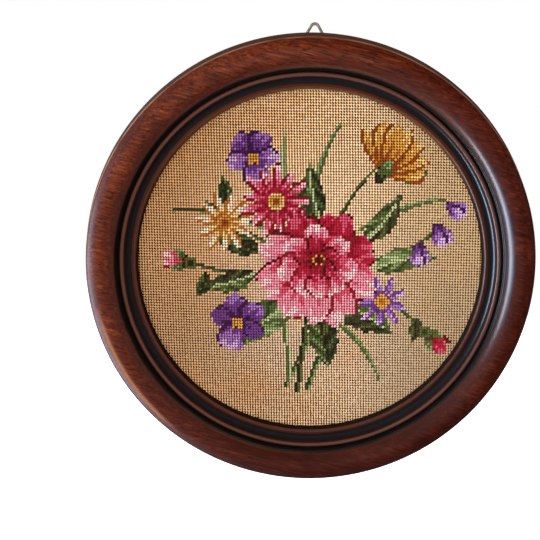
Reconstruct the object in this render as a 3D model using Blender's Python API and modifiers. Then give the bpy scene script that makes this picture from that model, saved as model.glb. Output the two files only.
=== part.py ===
# Round turned wooden picture frame with a stretched needlepoint cloth, hung by a triangular wire loop.
# Metres, +Z up, the front faces -Y, +X to the right.
# The origin is the top of the loop's hole, where a nail would bear.
import math

import bmesh
import bpy

MM = 0.001

# Pieces that touch in the real thing stand this far apart
GAP = 0.3 * MM

# Turned frame: radii from its centre, heights forward from its flat back
BACK_RADIUS = 117.2 * MM
BACK_CHAMFER = 0.5 * MM
ARRIS_RADIUS, ARRIS_HEIGHT = 114.75 * MM, 15.3 * MM
BEAD_INNER_RADIUS, BEAD_INNER_HEIGHT = 100.4 * MM, 16.3 * MM
BEAD_RISE = 4.4 * MM
QUIRK_RADIUS, QUIRK_HEIGHT = 99.5 * MM, 14.0 * MM
QUIRK_WIDTH = 0.6 * MM
GROOVE_HEIGHT = 12.3 * MM
GROOVE_OUTER_RADIUS, GROOVE_INNER_RADIUS = 98.5 * MM, 97.8 * MM
SMALL_BEAD_OUTER_RADIUS, SMALL_BEAD_OUTER_HEIGHT = 97.5 * MM, 13.1 * MM
SMALL_BEAD_INNER_RADIUS, SMALL_BEAD_INNER_HEIGHT = 95.8 * MM, 12.0 * MM
SMALL_BEAD_RISE = 0.9 * MM
COVE_OUTER_RADIUS, COVE_OUTER_HEIGHT = 95.6 * MM, 11.5 * MM
COVE_INNER_RADIUS, COVE_INNER_HEIGHT = 91.2 * MM, 9.7 * MM
COVE_DEPTH = 1.7 * MM
LIP_OUTER_RADIUS, LIP_OUTER_HEIGHT = 91.1 * MM, 9.9 * MM
LIP_INNER_RADIUS, LIP_INNER_HEIGHT = 89.9 * MM, 9.0 * MM
LIP_RISE = 0.45 * MM
SIGHT_RADIUS, RABBET_HEIGHT = 89.1 * MM, 4.1 * MM
RABBET_RADIUS = 94.5 * MM
FRAME_STEPS = 80

# Stretched cloth: a thin disc behind the lip, slightly crowned and uneven inside the opening
CLOTH_RADIUS = RABBET_RADIUS - GAP
CLOTH_THICKNESS = 1.4 * MM
CLOTH_FRONT_HEIGHT = RABBET_HEIGHT - GAP
CLOTH_CROWN = 0.5 * MM
CLOTH_RIPPLE = 0.12 * MM
CLOTH_RINGS = 9
CLOTH_STEPS = 64

# Plain board that closes the back
BOARD_RADIUS = RABBET_RADIUS - GAP
BOARD_THICKNESS = 1.8 * MM
BOARD_STEPS = 64

# Triangular wire loop, its three sides alike
WIRE_RADIUS = 0.75 * MM
LOOP_SIDE = 18.0 * MM
LOOP_CORNER = 2.0 * MM
LOOP_CORNER_STEPS = 6
LOOP_RISE = 5.1 * MM

# Brass strap rolled round the loop's lower side, with one slotted screw
STRAP_THICKNESS = 0.9 * MM
STRAP_WIDTH = 8.5 * MM
STRAP_LENGTH = 10.5 * MM
STRAP_ROLL = STRAP_THICKNESS / 2 + GAP + WIRE_RADIUS
STRAP_ROLL_TURN = math.radians(250)
STRAP_ROLL_STEPS = 16
SCREW_DROP = 6.0 * MM
SCREW_HEAD_RADIUS, SCREW_HEAD_HEIGHT = 2.5 * MM, 1.2 * MM
SCREW_SHANK_RADIUS = 1.2 * MM
SCREW_LENGTH = 9.0 * MM
SCREW_TIP = 1.8 * MM
SCREW_CROWN = 0.35 * MM
SCREW_SLOT_WIDTH, SCREW_SLOT_DEPTH = 0.6 * MM, 0.6 * MM
SCREW_SLOT_TURN = math.radians(35)
SCREW_STEPS = 20

# Places that follow from the sizes above
LOOP_PLANE = GAP + STRAP_THICKNESS / 2 + STRAP_ROLL
BACK_Y = -LOOP_PLANE
CENTRE_Z = -(BACK_RADIUS + LOOP_RISE - 2 * WIRE_RADIUS)
LOOP_TOP_TO_BAR = LOOP_SIDE * math.sin(math.radians(60)) - LOOP_CORNER
BAR_Z = WIRE_RADIUS - LOOP_TOP_TO_BAR
SCREW_Z = BAR_Z - SCREW_DROP

# A quarter turn lays a lathed shape's axis along -Y, towards the viewer
FACE_FRONT = (math.radians(90), 0, 0)

# Edges that turn more than this are shaded sharp
SHARP_ANGLE = math.radians(30)

# How far a cutter runs past what it cuts
OVERRUN = 1 * MM


def clear_scene():
    for thing in list(bpy.data.objects):
        bpy.data.objects.remove(thing)


def collection(name):
    made = bpy.data.collections.new(name)
    bpy.context.scene.collection.children.link(made)
    return made


def material(name, colour, roughness, metallic=0.0):
    made = bpy.data.materials.new(name)
    made.use_nodes = True
    shader = made.node_tree.nodes["Principled BSDF"]
    shader.inputs["Base Color"].default_value = (*colour, 1)
    shader.inputs["Roughness"].default_value = roughness
    shader.inputs["Metallic"].default_value = metallic
    return made


def bulge(start, end, rise, steps):
    """Points of the arc from start to end that stands rise off its chord, to the left of the way along."""
    (x0, y0), (x1, y1) = start, end
    half = math.dist(start, end) / 2
    radius = (half * half + rise * rise) / (2 * abs(rise))
    sweep = 2 * math.atan2(half, radius - abs(rise))
    along = ((x1 - x0) / (2 * half), (y1 - y0) / (2 * half))
    side = math.copysign(1, rise)
    across = (-along[1] * side, along[0] * side)
    middle = ((x0 + x1) / 2, (y0 + y1) / 2)
    centre = [middle[i] - across[i] * (radius - abs(rise)) for i in (0, 1)]
    points = []
    for step in range(steps + 1):
        turn = -sweep / 2 + sweep * step / steps
        points.append(tuple(
            centre[i] + radius * (math.cos(turn) * across[i] + math.sin(turn) * along[i]) for i in (0, 1)
        ))
    return points


def frame_profile():
    """Closed section as (radius, height), down the outside, in along the back and up through the opening."""
    outside = [
        (ARRIS_RADIUS, ARRIS_HEIGHT),
        (BACK_RADIUS, BACK_CHAMFER),
        (BACK_RADIUS - BACK_CHAMFER, 0),
    ]
    rabbet = [
        (RABBET_RADIUS, 0),
        (RABBET_RADIUS, RABBET_HEIGHT),
        (SIGHT_RADIUS, RABBET_HEIGHT),
    ]
    lip = bulge((LIP_INNER_RADIUS, LIP_INNER_HEIGHT), (LIP_OUTER_RADIUS, LIP_OUTER_HEIGHT), LIP_RISE, 3)
    cove = bulge((COVE_INNER_RADIUS, COVE_INNER_HEIGHT), (COVE_OUTER_RADIUS, COVE_OUTER_HEIGHT), -COVE_DEPTH, 7)
    small_bead = bulge(
        (SMALL_BEAD_INNER_RADIUS, SMALL_BEAD_INNER_HEIGHT),
        (SMALL_BEAD_OUTER_RADIUS, SMALL_BEAD_OUTER_HEIGHT),
        SMALL_BEAD_RISE,
        5,
    )
    groove = [
        (GROOVE_INNER_RADIUS, GROOVE_HEIGHT),
        (GROOVE_OUTER_RADIUS, GROOVE_HEIGHT),
        (QUIRK_RADIUS - QUIRK_WIDTH, QUIRK_HEIGHT),
        (QUIRK_RADIUS, QUIRK_HEIGHT),
    ]
    bead = bulge(
        (BEAD_INNER_RADIUS, BEAD_INNER_HEIGHT),
        (ARRIS_RADIUS, ARRIS_HEIGHT),
        BEAD_RISE,
        12,
    )
    return outside + rabbet + lip + cove + small_bead + groove + bead[:-1]


def outline_object(name, points, closed, where):
    """Object with the points, given as (x, z), joined by edges."""
    mesh = bpy.data.meshes.new(name)
    shape = bmesh.new()
    corners = [shape.verts.new((x, 0, z)) for x, z in points]
    for first, second in zip(corners, corners[1:]):
        shape.edges.new((first, second))
    if closed:
        shape.edges.new((corners[-1], corners[0]))
    shape.to_mesh(mesh)
    shape.free()
    made = bpy.data.objects.new(name, mesh)
    where.objects.link(made)
    return made


def turned(name, profile, closed, steps, where):
    """Lathed solid about its own Z axis, smooth but for its sharp edges."""
    outline = outline_object(name + "_profile", profile, closed, where)
    screw = outline.modifiers.new("Turned", "SCREW")
    screw.axis = "Z"
    screw.steps = steps
    screw.render_steps = steps
    screw.use_merge_vertices = True
    screw.merge_threshold = 0.00001
    seen = outline.evaluated_get(bpy.context.evaluated_depsgraph_get())
    mesh = bpy.data.meshes.new_from_object(seen)
    mesh.name = name
    bpy.data.objects.remove(outline)
    mesh.shade_smooth()
    mesh.set_sharp_from_angle(angle=SHARP_ANGLE)
    made = bpy.data.objects.new(name, mesh)
    where.objects.link(made)
    return made


def cut(target, cutter):
    cutter.hide_render = True
    cutter.display_type = "WIRE"
    boolean = target.modifiers.new("Cut", "BOOLEAN")
    boolean.operation = "DIFFERENCE"
    boolean.solver = "EXACT"
    boolean.object = cutter


def rod_cutter(name, radius, start, end, where):
    """Cylinder along Y between start and end, at the screw."""
    bpy.ops.mesh.primitive_cylinder_add(vertices=SCREW_STEPS, radius=radius, depth=abs(end - start))
    made = bpy.context.object
    made.name = name
    made.rotation_euler = FACE_FRONT
    made.location = (0, (start + end) / 2, SCREW_Z)
    for home in list(made.users_collection):
        home.objects.unlink(made)
    where.objects.link(made)
    return made


def make_frame(where, cutters):
    """The turned ring with its rabbet, and the screw's hole in its back."""
    ring = turned("wooden_frame", frame_profile(), True, FRAME_STEPS, where)
    ring.rotation_euler = FACE_FRONT
    ring.location = (0, BACK_Y, CENTRE_Z)
    hole = rod_cutter(
        "frame_screw_hole",
        SCREW_SHANK_RADIUS + GAP,
        BACK_Y - SCREW_LENGTH,
        BACK_Y + OVERRUN,
        cutters,
    )
    cut(ring, hole)
    ring.data.materials.append(material("turned_wood", (0.13, 0.035, 0.02), 0.3))
    return ring


def cloth_lift(x, y):
    """How far the cloth stands forward of a flat disc, falling to nothing under the lip."""
    inside = 1 - (x * x + y * y) / (SIGHT_RADIUS * SIGHT_RADIUS)
    if inside <= 0:
        return 0
    across = math.sin(x / (19 * MM) + 0.6) * math.cos(y / (23 * MM) - 0.4)
    return inside * (CLOTH_CROWN + CLOTH_RIPPLE * across)


def make_cloth(where):
    """The stretched cloth: a turned disc whose points then follow the lift of the cloth."""
    radii = [CLOTH_RADIUS * ring / CLOTH_RINGS for ring in range(CLOTH_RINGS + 1)]
    front = [(radius, CLOTH_FRONT_HEIGHT) for radius in radii]
    back = [(radius, CLOTH_FRONT_HEIGHT - CLOTH_THICKNESS) for radius in reversed(radii)]
    cloth = turned("embroidered_cloth", front + back, False, CLOTH_STEPS, where)
    for point in cloth.data.vertices:
        point.co.z += cloth_lift(point.co.x, point.co.y)
    cloth.rotation_euler = FACE_FRONT
    cloth.location = (0, BACK_Y, CENTRE_Z)
    cloth.data.materials.append(material("needlepoint", (0.72, 0.5, 0.28), 0.9))
    return cloth


def make_board(where):
    """Plain disc behind the cloth, a little inside the frame's back."""
    front = CLOTH_FRONT_HEIGHT - CLOTH_THICKNESS - GAP
    rear = front - BOARD_THICKNESS
    profile = [(0, front), (BOARD_RADIUS, front), (BOARD_RADIUS, rear), (0, rear)]
    board = turned("backing_board", profile, False, BOARD_STEPS, where)
    board.rotation_euler = FACE_FRONT
    board.location = (0, BACK_Y, CENTRE_Z)
    board.data.materials.append(material("board", (0.3, 0.2, 0.12), 0.85))
    return board


def loop_points():
    """Rounded equilateral triangle in the XZ plane, its hole's top at the origin."""
    inset = 2 * LOOP_CORNER
    centroid_z = BAR_Z + LOOP_SIDE * math.tan(math.radians(30)) / 2
    reach = LOOP_SIDE / math.sqrt(3) - inset
    points = []
    for corner in range(3):
        facing = math.radians(90 + 120 * corner)
        hub = (reach * math.cos(facing), centroid_z + reach * math.sin(facing))
        for step in range(LOOP_CORNER_STEPS + 1):
            turn_by = facing + math.radians(-60 + 120 * step / LOOP_CORNER_STEPS)
            points.append((hub[0] + LOOP_CORNER * math.cos(turn_by), hub[1] + LOOP_CORNER * math.sin(turn_by)))
    return points


def make_loop(where):
    """Wire triangle that hangs on the nail."""
    points = loop_points()
    curve = bpy.data.curves.new("hanging_loop", "CURVE")
    curve.dimensions = "3D"
    spline = curve.splines.new("POLY")
    spline.points.add(len(points) - 1)
    for place, (x, z) in zip(spline.points, points):
        place.co = (x, 0, z, 1)
    spline.use_cyclic_u = True
    curve.bevel_depth = WIRE_RADIUS
    curve.bevel_resolution = 2
    curve.use_fill_caps = True
    loop = bpy.data.objects.new("hanging_loop", curve)
    where.objects.link(loop)
    curve.materials.append(material("loop_wire", (0.35, 0.27, 0.16), 0.4, 1.0))
    return loop


def strap_path():
    """Middle line of the strap as (y, z): up the frame's back, then round the loop's lower side."""
    flat_y = BACK_Y + GAP + STRAP_THICKNESS / 2
    path = [(flat_y, BAR_Z - STRAP_LENGTH)]
    for step in range(STRAP_ROLL_STEPS + 1):
        angle = math.pi - STRAP_ROLL_TURN * step / STRAP_ROLL_STEPS
        path.append((STRAP_ROLL * math.cos(angle), BAR_Z + STRAP_ROLL * math.sin(angle)))
    return path


def make_strap(where, cutters):
    """Brass strap that carries the loop, with the screw's hole."""
    mesh = bpy.data.meshes.new("hanger_strap")
    shape = bmesh.new()
    rows = []
    for y, z in strap_path():
        rows.append([shape.verts.new((side * STRAP_WIDTH / 2, y, z)) for side in (-1, 1)])
    for low, high in zip(rows, rows[1:]):
        shape.faces.new((low[0], low[1], high[1], high[0]))
    shape.to_mesh(mesh)
    shape.free()
    strap = bpy.data.objects.new("hanger_strap", mesh)
    where.objects.link(strap)
    solid = strap.modifiers.new("Thickness", "SOLIDIFY")
    solid.thickness = STRAP_THICKNESS
    solid.offset = 0
    solid.use_even_offset = True
    hole = rod_cutter(
        "strap_screw_hole",
        SCREW_SHANK_RADIUS + GAP,
        BACK_Y - OVERRUN,
        BACK_Y + STRAP_THICKNESS + OVERRUN,
        cutters,
    )
    cut(strap, hole)
    mesh.materials.append(material("strap_brass", (0.5, 0.37, 0.17), 0.4, 1.0))
    return strap


def make_screw(where, cutters):
    """Slotted round-head screw through the strap into the frame's back."""
    seat = GAP + STRAP_THICKNESS + GAP
    crown = bulge((0, seat + SCREW_HEAD_HEIGHT), (SCREW_HEAD_RADIUS, seat), SCREW_CROWN, 5)
    shank_end = GAP - SCREW_LENGTH
    profile = crown + [
        (SCREW_SHANK_RADIUS, seat),
        (SCREW_SHANK_RADIUS, shank_end + SCREW_TIP),
        (0, shank_end),
    ]
    screw = turned("hanger_screw", profile, False, SCREW_STEPS, where)
    screw.rotation_euler = (-FACE_FRONT[0], 0, 0)
    screw.location = (0, BACK_Y, SCREW_Z)
    bpy.ops.mesh.primitive_cube_add(size=1)
    slot = bpy.context.object
    slot.name = "screw_slot"
    slot.scale = (3 * SCREW_HEAD_RADIUS, SCREW_SLOT_DEPTH * 2, SCREW_SLOT_WIDTH)
    slot.location = (0, BACK_Y + seat + SCREW_HEAD_HEIGHT, SCREW_Z)
    slot.rotation_euler = (0, SCREW_SLOT_TURN, 0)
    for home in list(slot.users_collection):
        home.objects.unlink(slot)
    cutters.objects.link(slot)
    cut(screw, slot)
    screw.data.materials.append(material("screw_steel", (0.45, 0.42, 0.36), 0.35, 1.0))
    return screw


def main():
    clear_scene()
    pieces = collection("framed_embroidery")
    cutters = collection("cutters")
    make_frame(pieces, cutters)
    make_cloth(pieces)
    make_board(pieces)
    make_loop(pieces)
    make_strap(pieces, cutters)
    make_screw(pieces, cutters)


main()
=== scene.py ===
# Looks of the framed needlepoint: turned mahogany ring, stitched flower picture, wire hanger.
# Metres, +Z up, the front faces -Y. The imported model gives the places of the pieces.
import math
from types import SimpleNamespace

import bpy
import numpy as np
from mathutils import Matrix, Vector


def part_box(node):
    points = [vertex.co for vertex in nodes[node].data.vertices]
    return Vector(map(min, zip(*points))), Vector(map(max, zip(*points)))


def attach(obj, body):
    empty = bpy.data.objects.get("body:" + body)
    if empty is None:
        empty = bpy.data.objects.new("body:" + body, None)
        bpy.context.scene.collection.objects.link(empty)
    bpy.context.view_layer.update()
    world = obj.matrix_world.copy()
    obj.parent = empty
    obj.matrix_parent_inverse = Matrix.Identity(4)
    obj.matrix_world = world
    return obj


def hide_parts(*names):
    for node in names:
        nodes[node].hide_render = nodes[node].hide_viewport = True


MM = 0.001

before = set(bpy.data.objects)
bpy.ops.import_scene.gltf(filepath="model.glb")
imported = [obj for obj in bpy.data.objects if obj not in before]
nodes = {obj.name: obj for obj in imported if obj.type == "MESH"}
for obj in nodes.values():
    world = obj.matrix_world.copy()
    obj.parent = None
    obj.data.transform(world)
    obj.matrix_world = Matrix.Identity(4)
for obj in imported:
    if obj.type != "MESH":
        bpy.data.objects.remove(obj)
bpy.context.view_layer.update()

# The ring's centre on its flat back, and its rim
ring_low, ring_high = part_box("wooden_frame")
RIM_RADIUS = (ring_high.x - ring_low.x) / 2
BACK_Y = ring_high.y
CENTRE_Z = (ring_low.z + ring_high.z) / 2
CENTRE = Vector((0, BACK_Y, CENTRE_Z))

# Camera, as measured on the photograph
FRAME_PIXELS = 540
FOCAL_PIXELS = 1050
METRES_PER_PIXEL = 0.525 * MM
CAMERA_AZIMUTH = math.radians(-1.55)
CAMERA_ELEVATION = math.radians(11.02)
CAMERA_ROLL = math.radians(-1.4)
CENTRE_PIXEL = (309.2, 261.3)
SENSOR_WIDTH = 36

# The section of the moulding: radii, and heights forward from the back
ARRIS = (114.75 * MM, 15.3 * MM)
BEAD_INNER = (100.4 * MM, 16.3 * MM)
BEAD_RISE = 4.4 * MM
QUIRK_OUTER, QUIRK_INNER = (99.5 * MM, 14.0 * MM), (98.9 * MM, 14.0 * MM)
GROOVE_OUTER, GROOVE_INNER = (98.5 * MM, 12.3 * MM), (97.8 * MM, 12.3 * MM)
SMALL_BEAD_OUTER, SMALL_BEAD_INNER = (97.5 * MM, 13.1 * MM), (95.8 * MM, 12.0 * MM)
SMALL_BEAD_RISE = 0.9 * MM
COVE_OUTER, COVE_INNER = (95.6 * MM, 11.5 * MM), (91.2 * MM, 9.7 * MM)
COVE_DEPTH = 1.7 * MM
LIP_OUTER, LIP_INNER = (91.1 * MM, 9.9 * MM), (89.9 * MM, 9.0 * MM)
LIP_RISE = 0.45 * MM
SIGHT_RADIUS, RABBET_HEIGHT = 89.1 * MM, 4.1 * MM
RABBET_RADIUS = 94.5 * MM
BACK_CHAMFER = 0.5 * MM
RING_STEPS = 288
LIP_STEPS, COVE_STEPS, SMALL_BEAD_STEPS, BEAD_STEPS = 8, 18, 12, 36
EDGE_ROUND = 0.22 * MM
# Edges sharper than these are rounded, and drawn sharp
ROUNDED_FROM, SHARP_FROM = math.radians(28), math.radians(40)
GRAIN_TILT = math.radians(14)
GRAIN_SWAY = 4 * MM
# How far the edge of the black stain wanders
RUB = 0.7 * MM

# Needlepoint: 18 canvas threads to the inch, one slanting stitch over each crossing
PITCH = 25.4 * MM / 18
ROW_PITCH = 1.025 * PITCH
CLOTH_LEAN = math.radians(1.8)
CLOTH_RADIUS = RABBET_RADIUS - 0.3 * MM
CLOTH_FRONT = RABBET_HEIGHT - 0.3 * MM
CLOTH_CROWN = 0.5 * MM
CLOTH_RIPPLE = 0.12 * MM
RIPPLE_ACROSS, RIPPLE_UP = 19 * MM, 23 * MM
CANVAS_FRONT = CLOTH_FRONT - 0.62 * MM
CANVAS_THICKNESS = 0.6 * MM
WORKED_RADIUS = 91.6 * MM
STITCH_SLANT = math.radians(56)
STITCH_HALF_LENGTH = 0.58
STITCH_HALF_WIDTH = 0.44
STITCH_RISE = 0.30 * MM
STITCH_DEPTH = 0.28 * MM
# Spread of the stitches' places, widths, lengths and slants
STITCH_SEED = 1871
PLACE_SPREAD, WIDTH_SPREAD, LENGTH_SPREAD, SLANT_SPREAD = 0.025, 0.06, 0.04, 0.06
# Slow waves in the lines of the canvas
WAVE = 0.10 * PITCH
WAVE_ACROSS, WAVE_UP = 17 * MM, 21 * MM
GROUND_PARTS = 4
# Places in a thread's noise, and the share of its light there
THREAD_SHADES = ((0.3, 0.80), (0.5, 1.0), (0.72, 1.16))
# Colour of the painted shade at the canvas's holes
HOLE_SHADE_BROWN = (44, 20, 6)
# What is left of a thread's red, green and blue light in a hole
HOLE_TINT = (0.16, 0.04, 0.005)
# Weights of the waves that make the holes, and where a hole starts and is full
HOLE_COLUMN, HOLE_ROW, HOLE_LEAN = 1.25, 1.05, 1.25
HOLE_EDGE, HOLE_HEART = -0.4, 0.4
# The shaded ground thread round a hole keeps this much of its light
HALO_TINT = (0.97, 0.64, 0.08)
HALO_EDGE, HALO_HEART = -1.1, -0.3

# Colours on the moulding, as sRGB of 0 to 255
WOOD = {
    "pore": (30, 9, 6),
    "painted_rim_shade": (46, 20, 15),
    "warm_glow": (196, 122, 58),
    "worn_and_highlit": (168, 122, 100),
    "side": (66, 46, 34),
    "inner": (54, 23, 15),
    "inner_left_sheen": (56, 38, 38),
    "thin_bead": (90, 57, 48),
    "lip": (74, 42, 37),
    "lip_top_lit": (84, 45, 29),
    "cove": (23, 20, 23),
    "groove": (11, 8, 8),
    "wall": (26, 11, 6),
    "wall_top_lit": (112, 62, 32),
    "back": (136, 86, 58),
}

# Thread colours, as sRGB of 0 to 255
THREADS = {
    "ground": (253, 222, 189),
    "crimson_deep": (92, 2, 24),
    "crimson": (152, 6, 42),
    "cherry": (190, 20, 62),
    "rose": (226, 84, 118),
    "pink": (246, 150, 172),
    "blush": (255, 210, 214),
    "plum": (60, 20, 84),
    "violet": (112, 60, 148),
    "lilac": (166, 116, 198),
    "mauve": (214, 178, 228),
    "rust": (150, 72, 28),
    "amber": (194, 114, 44),
    "gold": (220, 158, 68),
    "straw": (238, 202, 132),
    "cream": (246, 232, 212),
    "pine": (20, 36, 24),
    "forest": (44, 66, 40),
    "leaf": (80, 104, 56),
    "sage": (134, 160, 104),
    "mist": (186, 200, 150),
}
THREAD_NAMES = list(THREADS)
THREAD = {name: index for index, name in enumerate(THREAD_NAMES)}

# The chart of the picture: one thread colour for each cell of the grid, rows from the bottom
CELLS = 132
MIDDLE = CELLS // 2
cell_row, cell_column = np.mgrid[0:CELLS, 0:CELLS]
CELL_X = cell_column - MIDDLE + 0.5
CELL_Y = cell_row - MIDDLE + 0.5
STROKE_STEPS = 160

# Each corner of the hanger's loop
LOOP_CORNER = 2.0 * MM
LOOP_CORNER_STEPS = 12

FLOOR_HALF, FLOOR_DROP = 6.0, 0.45
# Room left round the bake map
MAP_MARGIN = 0.01
# Sockets of the Mix node for colours
MIX_SHARE, MIX_FIRST, MIX_SECOND, MIX_RESULT = 0, 6, 7, 2


def linear(colour):
    """Linear light from sRGB of 0 to 255."""
    parts = []
    for value in colour:
        share = value / 255
        parts.append(share / 12.92 if share <= 0.04045 else ((share + 0.055) / 1.055) ** 2.4)
    return (*parts, 1)


def new_object(name, data):
    made = bpy.data.objects.new(name, data)
    bpy.context.scene.collection.objects.link(made)
    return made


# Camera
def place_camera():
    """Camera that puts the ring's centre on its pixel, seen from the photograph's direction."""
    side = math.sin(CAMERA_AZIMUTH) * math.cos(CAMERA_ELEVATION)
    front = -math.cos(CAMERA_AZIMUTH) * math.cos(CAMERA_ELEVATION)
    towards = Vector((side, front, math.sin(CAMERA_ELEVATION)))
    middle = FRAME_PIXELS / 2
    ray = Vector((
        (CENTRE_PIXEL[0] - middle) / FOCAL_PIXELS,
        (middle - CENTRE_PIXEL[1]) / FOCAL_PIXELS,
        -1,
    )).normalized()
    # Two bases that share the ray: one in the camera, one in the world
    camera_up = (Vector((0, 1, 0)) - ray * ray.y).normalized()
    camera_basis = Matrix((ray, camera_up, ray.cross(camera_up))).transposed()
    forward = -towards
    world_up = (Vector((0, 0, 1)) - forward * forward.z).normalized()
    world_side = forward.cross(world_up)
    turned_up = world_up * math.cos(CAMERA_ROLL) + world_side * math.sin(CAMERA_ROLL)
    turned_side = world_side * math.cos(CAMERA_ROLL) - world_up * math.sin(CAMERA_ROLL)
    world_basis = Matrix((forward, turned_up, turned_side)).transposed()
    data = bpy.data.cameras.new("camera")
    data.sensor_width = SENSOR_WIDTH
    data.lens = SENSOR_WIDTH * FOCAL_PIXELS / FRAME_PIXELS
    data.clip_start = 0.01
    camera = new_object("camera", data)
    place = (world_basis @ camera_basis.transposed()).to_4x4()
    place.translation = CENTRE + towards * (FOCAL_PIXELS * METRES_PER_PIXEL)
    camera.matrix_world = place
    bpy.context.scene.camera = camera


# Node materials
class Shader:
    """A Principled material with short calls for the nodes that feed it."""

    def __init__(self, name, **constants):
        self.material = bpy.data.materials.new(name)
        self.material.use_nodes = True
        self.tree = self.material.node_tree
        self.surface = self.tree.nodes["Principled BSDF"]
        for socket, value in constants.items():
            self.surface.inputs[socket.replace("_", " ")].default_value = value

    def add(self, kind, inputs=None, output=0, **settings):
        """One output of a new node, whose inputs are constants or other nodes' outputs."""
        made = self.tree.nodes.new(kind)
        for name, value in settings.items():
            setattr(made, name, value)
        for socket, value in (inputs or {}).items():
            if isinstance(value, bpy.types.NodeSocket):
                self.tree.links.new(value, made.inputs[socket])
            else:
                made.inputs[socket].default_value = value
        return made.outputs[output]

    def feed(self, socket, value):
        self.tree.links.new(value, self.surface.inputs[socket])

    def here(self):
        """Object coordinates."""
        return self.add("ShaderNodeTexCoord", output="Object")

    def split(self, vector):
        """X, Y and Z of a vector."""
        made = self.tree.nodes.new("ShaderNodeSeparateXYZ")
        self.tree.links.new(vector, made.inputs[0])
        return list(made.outputs)

    def scaled(self, where, scale):
        return self.add("ShaderNodeMapping", {"Vector": where, "Scale": scale})

    def noise(self, where, scale, detail=3.0, roughness=0.5):
        return self.add("ShaderNodeTexNoise", {
            "Vector": where, "Scale": scale, "Detail": detail, "Roughness": roughness,
        })

    def maths(self, operation, first, second=0.0, clamp=False):
        return self.add("ShaderNodeMath", {0: first, 1: second}, operation=operation, use_clamp=clamp)

    def times(self, first, second):
        return self.maths("MULTIPLY", first, second)

    def plus(self, first, second, clamp=False):
        return self.maths("ADD", first, second, clamp)

    def minus(self, first, second):
        return self.maths("SUBTRACT", first, second)

    def vector_maths(self, operation, first, second=(0, 0, 0), output="Vector"):
        return self.add("ShaderNodeVectorMath", {0: first, 1: second}, output, operation=operation)

    def span(self, value, low, high, to_low=0.0, to_high=1.0):
        """A smooth step from to_low at low to to_high at high."""
        return self.add("ShaderNodeMapRange", {
            "Value": value, "From Min": low, "From Max": high, "To Min": to_low, "To Max": to_high,
        }, interpolation_type="SMOOTHSTEP")

    def mix(self, share, first, second, blend="MIX"):
        """The first colour at a share of 0, blended with the second at 1."""
        inputs = {MIX_SHARE: share, MIX_FIRST: first, MIX_SECOND: second}
        return self.add("ShaderNodeMix", inputs, MIX_RESULT, data_type="RGBA", blend_type=blend)

    def ramp(self, value, stops):
        """Colours in between those that stops gives as (position, colour)."""
        made = self.tree.nodes.new("ShaderNodeValToRGB")
        band = made.color_ramp
        while len(band.elements) < len(stops):
            band.elements.new(0.5)
        for element, (position, colour) in zip(band.elements, stops):
            element.position = position
            element.color = colour
        self.tree.links.new(value, made.inputs[0])
        return made.outputs[0]

    def bump(self, height, distance, strength):
        self.feed("Normal", self.add("ShaderNodeBump", {
            "Height": height, "Distance": distance, "Strength": strength,
        }))


def radius_in(shader):
    """Distance from the ring's axis, as a node value."""
    x, _, z = shader.split(shader.here())
    flat = shader.add("ShaderNodeCombineXYZ", {0: x, 1: shader.minus(z, CENTRE_Z)})
    return shader.vector_maths("LENGTH", flat, output="Value")


def toward(shader, x, z):
    """Distance from the ring's centre towards a direction in its plane, as a node value."""
    reach = shader.vector_maths("DOT_PRODUCT", shader.here(), (x, 0, z), "Value")
    return shader.minus(reach, z * CENTRE_Z)


def band(shader, value, low, high, soft):
    """1 between low and high, falling to 0 over soft on each side."""
    up = shader.span(value, low - soft, low + soft)
    down = shader.span(value, high - soft, high + soft, 1.0, 0.0)
    return shader.times(up, down)


def wood(name):
    return linear(WOOD[name])


def ring_places(shader):
    """Node values that say where on the ring a point lies."""
    x, _, z = shader.split(shader.here())
    radius = radius_in(shader)
    at = SimpleNamespace(radius=radius)
    # Towards the upper left, where the painted light is strongest, on the left, at the top of the opening,
    # and low on the ring
    at.faded = toward(shader, -0.77, 0.64)
    at.handled = shader.span(x, -0.85 * RIM_RADIUS, -0.2 * RIM_RADIUS, 1.0, 0.0)
    at.upper = shader.span(z, CENTRE_Z + 0.25 * SIGHT_RADIUS, CENTRE_Z + 0.85 * SIGHT_RADIUS)
    at.low = shader.span(z, CENTRE_Z - 0.9 * RIM_RADIUS, CENTRE_Z - 0.3 * RIM_RADIUS, 1.0, 0.0)
    # On the side wall, on the wall of the opening and on the flat back
    at.side = shader.span(radius, ARRIS[0] + 0.2 * MM, ARRIS[0] + 0.5 * MM, 0.0, 0.85)
    at.wall = shader.span(radius, LIP_INNER[0] - 0.2 * MM, LIP_INNER[0] + 0.05 * MM, 1.0, 0.0)
    facing = shader.split(shader.add("ShaderNodeNewGeometry", output="Normal"))[1]
    at.rear = shader.span(facing, 0.9, 0.98)
    # In the groove and the cove, whose black has a hand-rubbed edge
    at.patches = shader.noise(shader.here(), 90)
    rubbed = shader.plus(radius, shader.times(at.patches, RUB))
    groove_low, groove_high = GROOVE_INNER[0] - 0.1 * MM, BEAD_INNER[0] - 0.25 * MM
    cove_low, cove_high = COVE_INNER[0] + 0.9 * MM, COVE_OUTER[0]
    at.groove = band(shader, rubbed, groove_low + RUB / 2, groove_high + RUB / 2, 0.25 * MM)
    at.cove = band(shader, rubbed, cove_low + RUB / 2, cove_high + RUB / 2, 0.35 * MM)
    return at


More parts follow.
